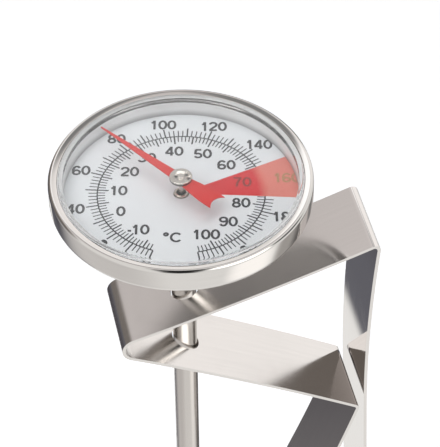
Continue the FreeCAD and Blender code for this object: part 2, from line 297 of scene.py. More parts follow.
def new_group(name, takes, gives):
    """A shader node group with its sockets, each (name, kind, value) or (name, kind)."""
    group = bpy.data.node_groups.new(name, "ShaderNodeTree")
    for label, kind, *value in takes:
        socket = group.interface.new_socket(label, in_out="INPUT", socket_type=kind)
        if value:
            socket.default_value = value[0]
    for label, kind in gives:
        group.interface.new_socket(label, in_out="OUTPUT", socket_type=kind)
    return group, group.nodes.new("NodeGroupInput").outputs, group.nodes.new("NodeGroupOutput")


def new_material(name, **constants):
    """A material with a Principled shader, and values that are the same all over it."""
    material = bpy.data.materials.new(name)
    material.use_nodes = True
    tree = material.node_tree
    shader = tree.nodes["Principled BSDF"]
    for key, value in constants.items():
        shader.inputs[key.replace("_", " ")].default_value = value
    return material, tree, shader


FLOAT, COLOUR, VECTOR = "NodeSocketFloat", "NodeSocketColor", "NodeSocketVector"


def new_grain(name, lines_kind, lines):
    """A group for fine lines in metal, with the sockets that every grain has."""
    takes = [("Vector", VECTOR), ("Lines", lines_kind, lines), ("Base", COLOUR), ("Depth", FLOAT, 0.1),
             ("Gloss", FLOAT, 0.2), ("Spread", FLOAT, 0.05)]
    return new_group(name, takes, [("Colour", COLOUR), ("Roughness", FLOAT), ("Height", FLOAT)])


def finish_grain(group, taken, given, lines, clouds=None):
    """Lets the lines tint the base colour, and the lines and clouds vary the gloss."""
    uneven = centred = reckon(group, "SUBTRACT", lines, 0.5)
    if clouds is not None:
        uneven = reckon(group, "ADD", centred, reckon(group, "SUBTRACT", clouds, 0.5))
    rough = reckon(group, "MULTIPLY_ADD", uneven, taken["Spread"], taken["Gloss"])
    tone = reckon(group, "MULTIPLY_ADD", centred, taken["Depth"], 1.0)
    feed(given, Colour=scaled(group, taken["Base"], tone), Roughness=rough, Height=lines)


# rolled or drawn lines: streaks that are long one way and fine the other
rolled_grain, taken, given = new_grain("rolled_grain", VECTOR, (40, 3000, 40))
place = taken["Vector"]
stretched = put(rolled_grain, "ShaderNodeVectorMath", {0: place, 1: taken["Lines"]}, operation="MULTIPLY")
streaks = noise(rolled_grain, stretched.outputs[0], 1.0, 4.0)
finish_grain(rolled_grain, taken, given, streaks, noise(rolled_grain, place, 140.0, 3.0))

# handling marks: soft smears that dull the polish a little
handling, taken, given = new_group(
    "handling",
    [("Vector", VECTOR), ("Roughness", FLOAT, 0.2), ("Amount", FLOAT, 0.1)],
    [("Roughness", FLOAT)],
)
smear = noise(handling, taken["Vector"], 90.0, 5.0, Roughness=0.6, Distortion=1.2)
smeared = ramp(handling, smear, 0.5, 0.72)
feed(given, Roughness=reckon(handling, "MULTIPLY_ADD", smeared, taken["Amount"], taken["Roughness"]))


def bright_metal(name, grain, colour, lines, gloss, bump=0.02, depth=0.1, spread=0.06, smears=0.05,
                 brighter=None):
    """Bright metal with the lines of a grain and a few handling marks."""
    material, tree, shader = new_material(name, Metallic=1.0)
    place = object_place(tree)
    if brighter:
        # the polish improves from one place to another along X
        start, end, best = brighter
        along = put(tree, "ShaderNodeSeparateXYZ", {0: place}).outputs["X"]
        gloss = ramp(tree, along, start, end, gloss, best)
    lined = placed(tree, grain, Vector=place, Lines=lines, Base=(*colour, 1), Depth=depth, Gloss=gloss,
                   Spread=spread)
    marked = placed(tree, handling, Vector=place, Roughness=lined["Roughness"], Amount=smears)
    relief = bumped(tree, lined["Height"], bump, 0.02 * mm)
    feed(shader, Base_Color=lined["Colour"], Roughness=marked["Roughness"], Normal=relief)
    return material


spring_steel = bright_metal(
    "spring_steel", rolled_grain, (0.79, 0.765, 0.745), (60, 2600, 60), 0.2, depth=0.08, spread=0.03,
    brighter=(-13 * mm, -2 * mm, 0.045),
)
add_piece("spring_clip", clip_mesh, "clip", "spring_steel", spring_steel, "clip")

# ---- Stem -----------------------------------------------------------------------------
# Drawn stainless tube with a groove rolled in at the end of its sensing length, and a
# round nose welded into its lower end. Both are polished along their length.
stem_r = (probe_high.x - probe_low.x) / 2
stem_axis = Vector((probe_x, 0, 0))
nose_low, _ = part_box("tip_plug")
tube_bore = stem_r - 0.35 * mm
sensing_length = 50 * mm
mark_width = 0.8 * mm
mark_depth = 0.12 * mm
plug_length = 3 * mm


def rounded(corners, steps=6):
    """An outline of (radius, height) points, with an arc at each corner that has a third number."""
    outline = []
    for i, corner in enumerate(corners):
        here = Vector(corner[:2])
        if len(corner) < 3:
            outline.append(here)
            continue
        before = (Vector(corners[i - 1][:2]) - here).normalized()
        after = (Vector(corners[(i + 1) % len(corners)][:2]) - here).normalized()
        half = before.angle(after) / 2
        size = corner[2]
        centre = here + (before + after).normalized() * size / math.sin(half)
        start = here + before * size / math.tan(half) - centre
        end = here + after * size / math.tan(half) - centre
        sweep = start.angle_signed(end)
        for k in range(steps + 1):
            outline.append(centre + Matrix.Rotation(-sweep * k / steps, 2) @ start)
    return outline


def on_axis(*verts):
    return all(abs(vert.co.x - probe_x) < 1e-7 for vert in verts)


def lathe(name, outline, steps=200, sharp=40):
    """A closed outline turned about the stem's axis."""
    work = bmesh.new()
    ring = [work.verts.new((probe_x + point[0], 0, point[1])) for point in outline]
    edges = [work.edges.new((a, b)) for a, b in zip(ring, ring[1:] + ring[:1]) if not on_axis(a, b)]
    bmesh.ops.spin(
        work, geom=ring + edges, cent=stem_axis, axis=(0, 0, 1), angle=2 * math.pi, steps=steps,
        use_merge=True,
    )
    mesh = made_mesh(name, work)
    tidy_mesh(mesh, sharp)
    return mesh


mark = nose_low.z + sensing_length
tube_outline = rounded(
    [
        (tube_bore, probe_low.z),
        (stem_r, probe_low.z),
        (stem_r, mark),
        (stem_r - mark_depth, mark + mark_width / 2, mark_width / 2),
        (stem_r, mark + mark_width),
        (stem_r, probe_high.z),
        (tube_bore, probe_high.z),
    ]
)
tube_steel = bright_metal("tube_steel", rolled_grain, (0.63, 0.60, 0.575), (2200, 2200, 30), 0.2, bump=0.05)
tube_mesh = lathe("probe_tube", tube_outline, 96)
add_piece("probe_tube", tube_mesh, "stem", "stem_steel", tube_steel, "stem_tube")

nose_top = nose_low.z + stem_r
nose_turns = [math.radians(turn) for turn in range(0, 91, 6)]
nose_outline = [(stem_r * math.sin(turn), nose_top - stem_r * math.cos(turn)) for turn in nose_turns]
nose_outline += [(tube_bore, nose_top), (tube_bore, nose_top + plug_length), (0, nose_top + plug_length)]
nose_mesh = lathe("probe_nose", nose_outline, 96)
add_piece("probe_nose", nose_mesh, "stem", "stem_steel", tube_steel, "tip_plug")

# ---- Neck -----------------------------------------------------------------------------
# A turned brass bush joins the tube to the case, and a stainless hexagon on it turns the
# stem against the dial to set the reading. A dished spring washer gives it its drag.
nut_low, nut_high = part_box("calibration_nut")
nut_flat_r = (nut_high.y - nut_low.y) / 2
nut_corner_r = (nut_high.x - nut_low.x) / 2
neck_r = stem_r + 0.7 * mm
nut_chamfer = (nut_corner_r - nut_flat_r) * math.tan(math.radians(30))
nut_edge = 0.08 * mm

nut_envelope = lathe("nut_envelope", [
    (0, nut_low.z), (nut_flat_r, nut_low.z), (nut_corner_r, nut_low.z + nut_chamfer),
    (nut_corner_r, nut_high.z - nut_chamfer), (nut_flat_r, nut_high.z), (0, nut_high.z),
], 96)
nut_bore = lathe("nut_bore", [
    (0, nut_low.z - mm), (neck_r, nut_low.z - mm), (neck_r, nut_high.z + mm), (0, nut_high.z + mm),
], 96)
work = bmesh.new()
nut_middle = Matrix.Translation((probe_x, 0, (nut_low.z + nut_high.z) / 2))
bmesh.ops.create_cone(
    work, cap_ends=True, segments=6, radius1=nut_corner_r, radius2=nut_corner_r,
    depth=nut_high.z - nut_low.z, matrix=nut_middle @ Matrix.Rotation(math.pi / 6, 4, "Z"),
)
nut_mesh = cut(made_mesh("calibration_nut", work), nut_envelope, operation="INTERSECT")
nut_mesh = cut(nut_mesh, nut_bore)
tidy_mesh(nut_mesh, 20)
nut_steel = bright_metal("nut_steel", rolled_grain, (0.62, 0.60, 0.58), (300, 300, 4000), 0.24, bump=0.08)
nut_mesh = softened(nut_mesh, nut_edge, sharp=20)
add_piece("neck_nut", nut_mesh, "stem", "nut_steel", nut_steel, "calibration_nut")

brass_gold = bright_metal("brass_gold", rolled_grain, (0.62, 0.46, 0.25), (500, 500, 3000), 0.22, bump=0.08)
spring_sheet = bright_metal("spring_sheet", rolled_grain, (0.62, 0.60, 0.58), (2000, 2000, 100), 0.25)


def finish_node(node, material):
    """Gives a construction part that is right as it is its material."""
    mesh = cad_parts[node].data
    mesh.materials.clear()
    mesh.materials.append(material)


finish_node("neck_bushing", brass_gold)
finish_node("spring_washer", spring_sheet)

# ---- Case -----------------------------------------------------------------------------
# Drawn cup of thin stainless sheet that closes the head from below. A round boss pressed
# out of its flat back seats the neck; the rim is rolled over its edge.
case_low, case_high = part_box("case_cup")
case_r = (case_high.x - case_low.x) / 2
case_sheet = 0.35 * mm
case_back = case_low.z + 1.6 * mm
neck_hole_r = neck_r + 0.05 * mm
boss_r, boss_run = 8 * mm, 1.6 * mm
boss_bend = 0.7 * mm
case_corner = 1.45 * mm
case_outline = rounded(
    [
        (neck_hole_r, case_low.z),
        (boss_r, case_low.z, boss_bend),
        (boss_r + boss_run, case_back, boss_bend - case_sheet),
        (case_r, case_back, case_corner),
        (case_r, case_high.z),
        (case_r - case_sheet, case_high.z),
        (case_r - case_sheet, case_back + case_sheet, case_corner - case_sheet),
        (boss_r + boss_run - case_sheet / 2, case_back + case_sheet, boss_bend),
        (boss_r - case_sheet / 2, case_low.z + case_sheet, boss_bend - case_sheet),
        (neck_hole_r, case_low.z + case_sheet),
    ]
)


def from_stem(tree, place):
    """How far a place is from the stem's axis."""
    flat = put(tree, "ShaderNodeVectorMath", {0: place, 1: (1, 1, 0)}, operation="MULTIPLY").outputs[0]
    return put(tree, "ShaderNodeVectorMath", {0: flat, 1: stem_axis}, operation="DISTANCE").outputs["Value"]


def height_of(tree, place):
    return put(tree, "ShaderNodeSeparateXYZ", {0: place}).outputs["Z"]


# lines left by spinning or turning: they run round the stem's axis
turned_grain, taken, given = new_grain("turned_grain", FLOAT, 4000)
place = taken["Vector"]
section = put(turned_grain, "ShaderNodeCombineXYZ", {
    0: from_stem(turned_grain, place), 1: height_of(turned_grain, place)}).outputs[0]
from_axis = put(turned_grain, "ShaderNodeVectorMath", {0: place, 1: stem_axis}, operation="SUBTRACT")
fine_lines = scaled(turned_grain, section, taken["Lines"])
slow_drift = scaled(turned_grain, from_axis.outputs[0], 60.0)
summed = put(turned_grain, "ShaderNodeVectorMath", {0: fine_lines, 1: slow_drift}, operation="ADD")
finish_grain(turned_grain, taken, given, noise(turned_grain, summed.outputs[0], 1.0, 3.0))

case_steel = bright_metal("case_steel", turned_grain, (0.60, 0.58, 0.56), 4000, 0.36, bump=0.04, depth=0.08)
add_piece("case", lathe("case", case_outline), "head", "case_steel", case_steel, "case_cup")

# ---- Bezel ----------------------------------------------------------------------------
# Polished stainless rim, rolled over the crystal at the top and under the case's back at
# the foot, so that it holds the whole head together.
bezel_low, bezel_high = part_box("bezel_ring")
bezel_r = (bezel_high.x - bezel_low.x) / 2
bezel_sheet = 0.4 * mm
rim_top = case_back + 5.2 * mm
rim_round, foot_round = 0.6 * mm, 1.8 * mm
lip_r = bezel_r - 1.6 * mm
lip_fall = 0.25 * mm
foot_r = bezel_r - 2.2 * mm
rolled_edge = bezel_sheet * 0.45
bezel_outline = rounded(
    [
        (foot_r, case_back - bezel_sheet, rolled_edge),
        (bezel_r, case_back - bezel_sheet, foot_round),
        (bezel_r, rim_top, rim_round),
        (lip_r, rim_top - lip_fall, rolled_edge),
        (lip_r, rim_top - lip_fall - bezel_sheet, rolled_edge / 2),
        (bezel_r - bezel_sheet, rim_top - lip_fall - bezel_sheet, rim_round - bezel_sheet),
        (bezel_r - bezel_sheet, case_back, foot_round - bezel_sheet),
        (foot_r, case_back, rolled_edge / 2),
    ],
    10,
)
bezel_steel = bright_metal(
    "bezel_steel", turned_grain, (0.74, 0.72, 0.70), 4000, 0.07, bump=0.04, depth=0.08, spread=0.03,
    smears=0.04,
)
add_piece("rim", lathe("rim", bezel_outline, 256), "head", "bezel_steel", bezel_steel, "bezel_ring")

# ---- Seal -----------------------------------------------------------------------------
# Flat ring of pale translucent silicone between the crystal's flange and the rim's lip. It has
# a faint painted glow: emission for the light the crystal's edge leads in under the lip.
# painted glow: the seal gives off a little light of its own, though it is no lamp
seal_silicone, tree, shader = new_material(
    "seal_silicone", Roughness=0.45, IOR=1.41, Emission_Color=(0.9, 0.9, 0.92, 1), Emission_Strength=0.35
)


def blended(tree, mask, first, last):
    """The first colour where the mask is 0, and the last where it is 1."""
    return put(tree, "ShaderNodeMix", {0: mask, 6: first, 7: last}, data_type="RGBA").outputs[2]


mottle = noise(tree, object_place(tree), 1500.0, 3.0)
feed(shader, Base_Color=blended(tree, mottle, (0.88, 0.88, 0.86, 1), (0.95, 0.95, 0.94, 1)))
finish_node("lens_gasket", seal_silicone)

# ---- Crystal --------------------------------------------------------------------------
# Clear moulded window: a slightly domed crown with a rounded shoulder that stands through
# the rim, and a flange that the rim holds down.
glass_low, glass_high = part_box("crystal")
flange_r = (glass_high.x - glass_low.x) / 2
crown_r = lip_r - 0.08 * mm
crown_wall = window_thickness = flange_thickness = 0.85 * mm
dome_rise = 0.6 * mm
shoulder = 0.6 * mm
flange_top = glass_low.z + flange_thickness
flange_break = 0.1 * mm


def domed(radius, top, rise, steps=24):
    """Points of a shallow dome, from its edge in to the axis."""
    ball_r = (radius**2 + rise**2) / (2 * rise)
    points = []
    for i in range(steps + 1):
        r = radius * (1 - i / steps)
        points.append(Vector((r, top - ball_r + math.sqrt(ball_r**2 - r**2))))
    return points


outer_edge = domed(crown_r, glass_high.z, dome_rise)
inner_edge = domed(crown_r - crown_wall, glass_high.z - window_thickness, dome_rise)
crown_top = [point for point in outer_edge if point.x < crown_r - shoulder]
# the first corner only turns the shoulder's arc towards the dome, and is left out
side = rounded(
    [
        (crown_r - 3 * shoulder, domed(crown_r, glass_high.z, dome_rise, 40)[3].y),
        (crown_r - crown_wall, glass_low.z),
        (flange_r, glass_low.z, flange_break),
        (flange_r, flange_top, flange_break),
        (crown_r, flange_top, flange_break),
        (crown_r, outer_edge[0].y, shoulder),
    ],
    8,
)[1:]
crystal_outline = [inner_edge[-1]] + inner_edge[-2:0:-1] + [inner_edge[0]] + side + crown_top
clear_glass, tree, shader = new_material("clear_glass", Transmission_Weight=1.0, IOR=1.49, Roughness=0.0)
ripple = noise(tree, object_place(tree), 120.0, 1.0)
feed(shader, Normal=bumped(tree, ripple, 0.03, 0.05 * mm), Roughness=ramp(tree, ripple, 0.45, 0.7, 0.0, 0.02))
shadow = put(tree, "ShaderNodeLightPath").outputs["Is Shadow Ray"]
see_through = put(tree, "ShaderNodeBsdfTransparent", {"Color": (0.96, 0.97, 0.97, 1)}).outputs[0]
light_passes = put(tree, "ShaderNodeMixShader", {0: shadow, 1: shader.outputs[0], 2: see_through})
feed(tree.nodes["Material Output"], Surface=light_passes.outputs[0])
crystal_mesh = lathe("crystal_crown", crystal_outline, 256)
add_piece("crystal_crown", crystal_mesh, "head", "clear_glass", clear_glass, "crystal")

# ---- Spacer ring ----------------------------------------------------------------------
# Satin ring between the dial and the crystal. It shows as the wall round the dial, and
# painted shade darkens that wall towards its foot.
spacer_low, spacer_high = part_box("spacer_ring")
spacer_r = (spacer_high.x - spacer_low.x) / 2
spacer_bore = spacer_r - 1.6 * mm
spacer_break = 0.05 * mm
seating_gap = 0.03 * mm
painted_shade_height = 1.6 * mm
spacer_outline = rounded(
    [
        (spacer_bore, spacer_low.z, spacer_break),
        (spacer_r, spacer_low.z),
        (spacer_r, spacer_high.z - seating_gap),
        (spacer_bore, spacer_high.z - seating_gap, spacer_break),
    ],
    3,
)
spacer_satin, tree, shader = new_material("spacer_satin", Metallic=0.15, Roughness=0.5)
place = object_place(tree)
# painted shade: the wall's colour falls to half at its foot
painted_shade = ramp(tree, height_of(tree, place), spacer_low.z, spacer_low.z + painted_shade_height, 0.5, 1.0, "SMOOTHSTEP")
lined = placed(tree, turned_grain, Vector=place, Lines=2500, Base=(0.83, 0.83, 0.83, 1), Depth=0.12)
feed(shader, Base_Color=scaled(tree, lined["Colour"], painted_shade))
spacer_mesh = lathe("dial_wall", spacer_outline, 256)
add_piece("dial_wall", spacer_mesh, "head", "spacer_aluminium", spacer_satin, "spacer_ring")

# ---- Dial -----------------------------------------------------------------------------
# Thin metal disc, sprayed pale silver grey and printed: a circle with ticks for degrees F
# outside it and degrees C inside it, numerals, and a red zone over both scales.
_, dial_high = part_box("dial_plate")
dial_face = dial_high.z
dial_middle = stem_axis + Vector((0, 0, dial_face))
print_thickness = 0.012 * mm
dial_turn = 12.05          # degrees that the head is turned on its stem from square to the clip
upright = Matrix.Rotation(math.radians(-dial_turn), 4, "Z")
zero_angle = 251.41 - dial_turn
celsius_sign_angle = 263 - dial_turn
degrees_per_f = 1.5
top_f = 220
red_zone = (150, 170)
scale_r, scale_width = 14.3 * mm, 0.24 * mm
f_tick_foot, f_tick_end, f_long_end = 14.4 * mm, 15.8 * mm, 16.4 * mm
c_tick_foot, c_tick_end, c_long_end = 14.2 * mm, 12.95 * mm, 12.4 * mm
tick_width, long_width = 0.2 * mm, 0.27 * mm
f_numeral_r, c_numeral_r, celsius_sign_r = 18.3 * mm, 10.7 * mm, 10.65 * mm
numeral_height, sign_height = 2.3 * mm, 2.25 * mm
numeral_weight = 0.185     # width of a stroke, as a share of the numeral's height
bearing_r = 1.2 * mm


def angle_f(value):
    return math.radians(zero_angle - value * degrees_per_f)


def angle_c(value):
    return angle_f(value * 9 / 5 + 32)


def is_clear(angle):
    """Whether an angle on the dial lies outside the red zone."""
    return not angle_f(red_zone[1]) <= angle <= angle_f(red_zone[0])


def spoke(angle):
    return Vector((math.cos(angle), math.sin(angle), 0))


def bar(work, rows):
    """Adds a closed bar through rows of four corners each."""
    for a, b in zip(rows, rows[1:]):
        for i in range(4):
            work.faces.new((a[i], a[(i + 1) % 4], b[(i + 1) % 4], b[i]))
    work.faces.new(rows[0])
    work.faces.new(rows[-1][::-1])


def stroke(work, points, width, place, top=print_thickness):
    """Adds one flat stroke of even width along its middle line."""
    closed = (points[0] - points[-1]).length < 1e-6
    rows = []
    for i, point in enumerate(points):
        ahead = points[i + 1] if i + 1 < len(points) else points[1] if closed else point
        behind = points[i - 1] if i else points[-2] if closed else point
        along = (ahead - behind).normalized()
        side = Vector((-along.y, along.x)) * width / 2
        corners = zip((point - side, point + side, point + side, point - side), (0, 0, top, top))
        rows.append([work.verts.new(place @ Vector((*corner, z))) for corner, z in corners])
    bar(work, rows)


def printed_ring(work, inner, outer, start, end, steps):
    """Adds a flat printed band between two radii and two angles."""
    rows = []
    for i in range(steps + 1):
        out = spoke(start + (end - start) * i / steps)
        corners = ((inner, 0), (outer, 0), (outer, print_thickness), (inner, print_thickness))
        rows.append([work.verts.new(dial_middle + out * r + Vector((0, 0, z))) for r, z in corners])
    bar(work, rows)


def tick(work, angle, foot, end, width):
    """Adds one printed tick, square across its line."""
    stroke(work, [spoke(angle).xy * r for r in (foot, end)], width, Matrix.Translation(dial_middle))


def printed_mesh(name, work):
    bmesh.ops.recalc_face_normals(work, faces=work.faces)
    return made_mesh(name, work)


dial_paint, tree, shader = new_material("dial_paint", Metallic=0.0)
place = object_place(tree)
flake = noise(tree, place, 5000.0, 2.0)
silver = blended(tree, noise(tree, place, 45.0, 1.0), (0.715, 0.74, 0.765, 1), (0.775, 0.79, 0.805, 1))
flecked = scaled(tree, silver, ramp(tree, flake, 0, 1, 0.94, 1.06))
feed(shader, Base_Color=flecked, Roughness=ramp(tree, flake, 0, 1, 0.38, 0.55))
finish_node("dial_plate", dial_paint)


def printing_ink(name, light, dark):
    """Matt ink that covers a little unevenly."""
    material, tree, shader = new_material(name, Roughness=0.5, Specular_IOR_Level=0.15)
    cover = noise(tree, object_place(tree), 1800.0, 3.0)
    feed(shader, Base_Color=blended(tree, cover, (*light, 1), (*dark, 1)))
    return material


black_ink = printing_ink("black_ink", (0.055, 0.055, 0.06), (0.03, 0.03, 0.035))
work = bmesh.new()
for values, angle_of, every, foot, end, long_end in (
    (range(0, top_f + 1, 2), angle_f, 10, f_tick_foot, f_tick_end, f_long_end),
    (range(-17, 105), angle_c, 5, c_tick_foot, c_tick_end, c_long_end),
):
    for value in values:
        if is_clear(angle_of(value)):
            long = value % every == 0
            tick(work, angle_of(value), foot, long_end if long else end, long_width if long else tick_width)
for start, end in ((0, red_zone[0]), (red_zone[1], top_f)):
    printed_ring(work, scale_r - scale_width / 2, scale_r + scale_width / 2, angle_f(start), angle_f(end), 90)
add_piece("dial_ticks", printed_mesh("dial_ticks", work), "head", "dial_paint", black_ink)


def bent(middle, reach, start, end, steps=16):
    """Points on an ellipse from one angle to another, in degrees."""
    points = []
    for i in range(steps + 1):
        turn = math.radians(start + (end - start) * i / steps)
        points.append(Vector((middle[0] + reach[0] * math.cos(turn), middle[1] + reach[1] * math.sin(turn))))
    return points


def straight(*points):
    return [Vector(point) for point in points]


# the middle lines of the strokes of each numeral, which is one unit high, and its width
numerals = {
    "0": (0.7, bent((0.38, 0.5), (0.255, 0.425), 0, 360, 30)),
    "1": (0.7, straight((0.45, 0), (0.45, 1)),
          straight((0.21, 0.73), (0.31, 0.76), (0.38, 0.83), (0.42, 0.97))),
    "2": (0.7, bent((0.37, 0.69), (0.25, 0.24), 172, -38) + straight((0.3, 0.29), (0.17, 0.16), (0.13, 0.04)),
          straight((0.09, 0.075), (0.65, 0.075))),
    "3": (0.7, bent((0.37, 0.71), (0.22, 0.215), 165, -80), bent((0.37, 0.285), (0.25, 0.21), 85, -168)),
    "4": (0.7, straight((0.51, 0), (0.51, 1)), straight((0.5, 0.96), (0.1, 0.27)),
          straight((0.06, 0.27), (0.69, 0.27))),
    "5": (0.7, straight((0.62, 0.925), (0.2, 0.925)), straight((0.22, 0.96), (0.155, 0.44)),
          bent((0.37, 0.3), (0.25, 0.225), 140, -158)),
    "6": (0.7, bent((0.38, 0.295), (0.245, 0.22), 0, 360, 24), bent((0.4, 0.5), (0.27, 0.425), 38, 205)),
    "7": (0.7, straight((0.08, 0.925), (0.67, 0.925)),
          straight((0.63, 0.93), (0.46, 0.66), (0.35, 0.36), (0.3, 0))),
    "8": (0.7, bent((0.38, 0.72), (0.2, 0.205), 0, 360, 24), bent((0.38, 0.29), (0.245, 0.215), 0, 360, 24)),
    "-": (0.2, straight((0.03, 0.38), (0.29, 0.38))),
    "°": (0.46, bent((0.2, 0.82), (0.13, 0.13), 0, 360, 20)),
    "C": (0.97, bent((0.5, 0.5), (0.38, 0.425), 40, 320, 24)),
}
numerals["9"] = (0.7, *[[Vector((0.76, 1)) - point for point in points] for points in numerals["6"][1:]])


def printed_text(work, text, angle, radius, height=numeral_height, off=(0, 0)):
    """Adds upright numerals with their middle at that angle and radius, or so many mm off it."""
    spot = dial_middle + spoke(angle) * radius + upright @ Vector((off[0] * mm, off[1] * mm, 0))
    pen = -sum(numerals[letter][0] for letter in text) / 2
    for letter in text:
        wide, *strokes = numerals[letter]
        for layer, points in enumerate(strokes):
            place = Matrix.Translation(spot) @ upright @ Matrix.Diagonal((height, height, 1, 1))
            place = place @ Matrix.Translation((pen, -0.5, 0))
            # each stroke is a little thicker than the one it crosses, so that no faces coincide
            stroke(work, points, numeral_weight, place, print_thickness * (1 + layer / 8))
        pen += wide


# a few numerals stand a little off their marks
off_f = {80: (0.6, 0.1), 100: (0.15, -0.58), 120: (-0.4, -0.5), 140: (-0.4, 0), 180: (0.15, 0)}
off_c = {-10: (-0.3, -0.42), 0: (-0.4, 0), 10: (-0.15, 0.1), 20: (0.25, 0), 100: (-0.15, -0.1)}
work = bmesh.new()
for values, angle_of, radius, offs, usual in (
    (range(0, top_f + 1, 20), angle_f, f_numeral_r, off_f, (0, 0)),
    (range(-10, 101, 10), angle_c, c_numeral_r, off_c, (-0.35, -0.1)),
):
    for value in values:
        if is_clear(angle_of(value)):
            printed_text(work, str(value), angle_of(value), radius, off=offs.get(value, usual))
printed_text(work, "°C", math.radians(celsius_sign_angle), celsius_sign_r, sign_height)
add_piece("dial_numerals", printed_mesh("dial_numerals", work), "head", "dial_paint", black_ink)

# the zone's red turns pale salmon further out, along a wavy line: painted glare of the crystal
zone_inner, zone_outer = bearing_r + 0.4 * mm, spacer_bore + 0.3 * mm
glare_start, glare_end, waviness = 13.6 * mm, 15.6 * mm, 1.2 * mm
red_ink, tree, shader = new_material("red_ink", Roughness=0.45)
place = object_place(tree)
outward = put(tree, "ShaderNodeVectorMath", {0: place, 1: dial_middle}, operation="DISTANCE").outputs["Value"]
wavy = reckon(tree, "MULTIPLY_ADD", noise(tree, place, 220.0, 2.0), waviness, outward)
painted_glare = ramp(tree, wavy, glare_start, glare_end)
# painted highlight: the outer colour is the red lightened by the crystal's glare
feed(shader, Base_Color=blended(tree, painted_glare, (0.62, 0.008, 0.014, 1), (0.70, 0.20, 0.155, 1)))
work = bmesh.new()
printed_ring(work, zone_inner, zone_outer, angle_f(red_zone[0]), angle_f(red_zone[1]), 24)
add_piece("dial_red_zone", printed_mesh("dial_red_zone", work), "head", "dial_paint", red_ink)

dark_red_ink = printing_ink("dark_red_ink", (0.30, 0.045, 0.04), (0.22, 0.03, 0.03))
# the 160 lies under the zone's painted glare, so its ink is painted faint: painted highlight
glare_faint_ink = printing_ink("glare_faint_ink", (0.46, 0.25, 0.13), (0.40, 0.22, 0.11))
for name, text, angle, radius, ink in (
    ("zone_numeral_c", "70", angle_c(70), c_numeral_r, dark_red_ink),
    ("zone_numeral_f", "160", angle_f(160), f_numeral_r, glare_faint_ink),
):
    work = bmesh.new()
    printed_text(work, text, angle, radius)
    numeral = printed_mesh(name, work)
    numeral.transform(Matrix.Translation((0, 0, print_thickness)))
    add_piece(name, numeral, "head", "dial_paint", ink)

# ---- Shaft bearing --------------------------------------------------------------------
# Small turned brass bush in the middle of the dial, with a rounded mouth. Painted shade
# darkens the mouth of the bore.
bush_low, bush_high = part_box("shaft_bearing")
shaft_r = 0.4 * mm
bore_r = shaft_r + 0.05 * mm
mouth, mouth_depth = 0.42 * mm, 0.9 * mm
shade_start, shade_end = bore_r + 0.26 * mm, bore_r + 0.4 * mm
bearing_outline = rounded(
    [
        (bore_r, bush_low.z),
        (bearing_r, bush_low.z),
        (bearing_r, bush_high.z, 0.17 * mm),
        (bore_r + mouth, bush_high.z, 0.05 * mm),
        (bore_r, bush_high.z - mouth_depth),
    ]
)
brass_shaded_mouth, tree, shader = new_material("brass_shaded_mouth", Metallic=0.9, Roughness=0.25)
place = object_place(tree)
# painted shade: the mouth of the bore is coloured almost black
unshaded = ramp(tree, from_stem(tree, place), shade_start, shade_end)
lined = placed(tree, turned_grain, Vector=place, Lines=6000, Base=(0.66, 0.60, 0.52, 1), Depth=0.3)
feed(shader, Base_Color=blended(tree, unshaded, (0.05, 0.02, 0.014, 1), lined["Colour"]))
add_piece("bearing", lathe("bearing", bearing_outline, 96), "stem", "brass", brass_shaded_mouth, "shaft_bearing")

# ---- Pointer --------------------------------------------------------------------------
# Red enamelled blade stamped from sheet, with a broad hollow-ended tail as a counterweight,
# and a turned hub that is pressed on the shaft and holds the blade under its disc.
blade_low, blade_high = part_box("pointer")
hub_low, hub_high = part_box("pointer_hub")
blade_z, blade_top = blade_low.z, blade_high.z
pointer_reach = spacer_bore - 0.8 * mm
pointer_angle = math.radians(124.61)
hub_r = (hub_high.x - hub_low.x) / 2
root_half, tip_half = 0.925 * mm, 0.12 * mm
tail_root, tail_half, tail_belly = 1.25 * mm, 1.75 * mm, 0.2 * mm
tail_reach, tail_hollow = 8.5 * mm, 0.9 * mm
stamped_edge = 0.04 * mm


def curve_through(start, middle, end, steps=10):
    """Points on the gentle curve from start to end that passes through middle."""
    bend = middle * 2 - (start + end) / 2
    shares = [i / steps for i in range(steps + 1)]
    return [start * (1 - t) ** 2 + bend * 2 * t * (1 - t) + end * t**2 for t in shares]


tail_corner, other_corner = Vector((-tail_reach, tail_half)), Vector((-tail_reach, -tail_half))
tail_middle = Vector((-(hub_r + tail_reach) / 2, (tail_root + tail_half) / 2 + tail_belly))
tail_side = curve_through(Vector((-hub_r, tail_root)), tail_middle, tail_corner)
tail_end = curve_through(tail_corner, Vector((tail_hollow - tail_reach, 0)), other_corner)
blade_side = [Vector((pointer_reach, tip_half)), Vector((hub_r, root_half)), *tail_side]
other_side = [Vector((point.x, -point.y)) for point in reversed(blade_side)]
blade_outline = other_side[-1:] + blade_side + tail_end[1:-1] + other_side[:-1]
work = bmesh.new()
face = work.faces.new([work.verts.new((point.x, point.y, blade_z)) for point in blade_outline])
grown = bmesh.ops.extrude_face_region(work, geom=[face])["geom"]
upper = [vert for vert in grown if isinstance(vert, bmesh.types.BMVert)]
bmesh.ops.translate(work, verts=upper, vec=(0, 0, blade_top - blade_z))
blade_mesh = made_mesh("pointer_blade", work)
blade_mesh.transform(Matrix.Translation(stem_axis) @ Matrix.Rotation(pointer_angle, 4, "Z"))
tidy_mesh(blade_mesh, 25)
red_enamel, tree, shader = new_material("red_enamel")
peel = noise(tree, object_place(tree), 900.0, 2.0)
feed(
    shader,
    Base_Color=blended(tree, peel, (0.60, 0.008, 0.006, 1), (0.66, 0.014, 0.01, 1)),
    Roughness=ramp(tree, peel, 0, 1, 0.3, 0.42),
    Normal=bumped(tree, peel, 0.05, 0.02 * mm),
)
blade_mesh = softened(blade_mesh, stamped_edge)
add_piece("pointer_blade", blade_mesh, "pointer", "pointer_paint", red_enamel, "pointer")

